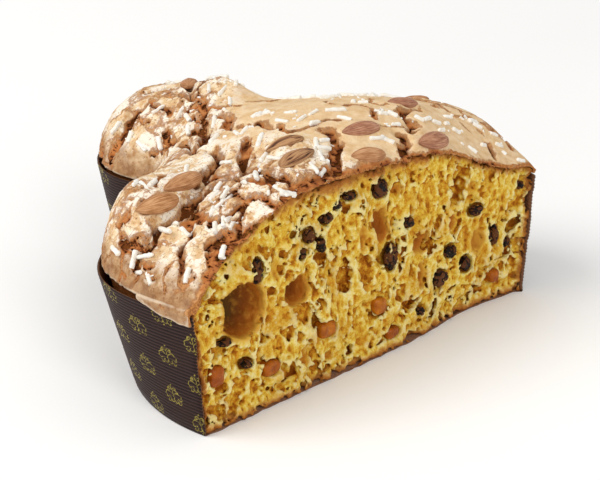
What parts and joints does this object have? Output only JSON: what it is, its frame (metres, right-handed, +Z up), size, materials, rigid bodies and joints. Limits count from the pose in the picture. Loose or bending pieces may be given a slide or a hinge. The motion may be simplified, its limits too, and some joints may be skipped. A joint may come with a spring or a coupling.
{
  "type": "cut half of a colomba cake",
  "caption": "Half of a dove-shaped Easter cake in its paper mould, cut across the wings, with raisins and candied peel in a yellow crumb under cracked almond glaze and pearl sugar.",
  "frame": {"origin": "centre of the bounding box's underside, where the paper mould stands", "axes": "+Z up; +X along the cut, towards its thinner end; +Y from the cut towards the rounded head lobe"},
  "size_m": [0.2242, 0.1702, 0.1047],
  "materials": {
    "paper": "matt dark brown ribbed baking paper with a small gold sprig print",
    "crumb": "torn, open, golden yellow crumb with a browned rind",
    "glaze": "dry, cracked, biscuit-coloured almond glaze with white pearl sugar",
    "almond": "whole roasted almond in its skin",
    "raisin": "moist dark raisin",
    "peel": "translucent candied orange peel"
  },
  "bodies": {
    "root": {"paper_mould": "paper", "crumb": "crumb", "glaze": "glaze", "almond_01": "almond", "almond_02": "almond", "almond_03": "almond", "almond_04": "almond", "almond_05": "almond", "almond_06": "almond", "almond_07": "almond", "almond_08": "almond", "almond_09": "almond", "almond_10": "almond", "almond_11": "almond", "almond_12": "almond", "raisin_01": "raisin", "raisin_02": "raisin", "raisin_03": "raisin", "raisin_04": "raisin", "raisin_05": "raisin", "raisin_06": "raisin", "raisin_07": "raisin", "raisin_08": "raisin", "raisin_09": "raisin", "raisin_10": "raisin", "raisin_11": "raisin", "raisin_12": "raisin", "raisin_13": "raisin", "raisin_14": "raisin", "raisin_15": "raisin", "raisin_16": "raisin", "raisin_17": "raisin", "raisin_18": "raisin", "raisin_19": "raisin", "raisin_20": "raisin", "peel_01": "peel", "peel_02": "peel", "peel_03": "peel", "peel_04": "peel", "peel_05": "peel", "peel_06": "peel"}
  },
  "joints": []
}
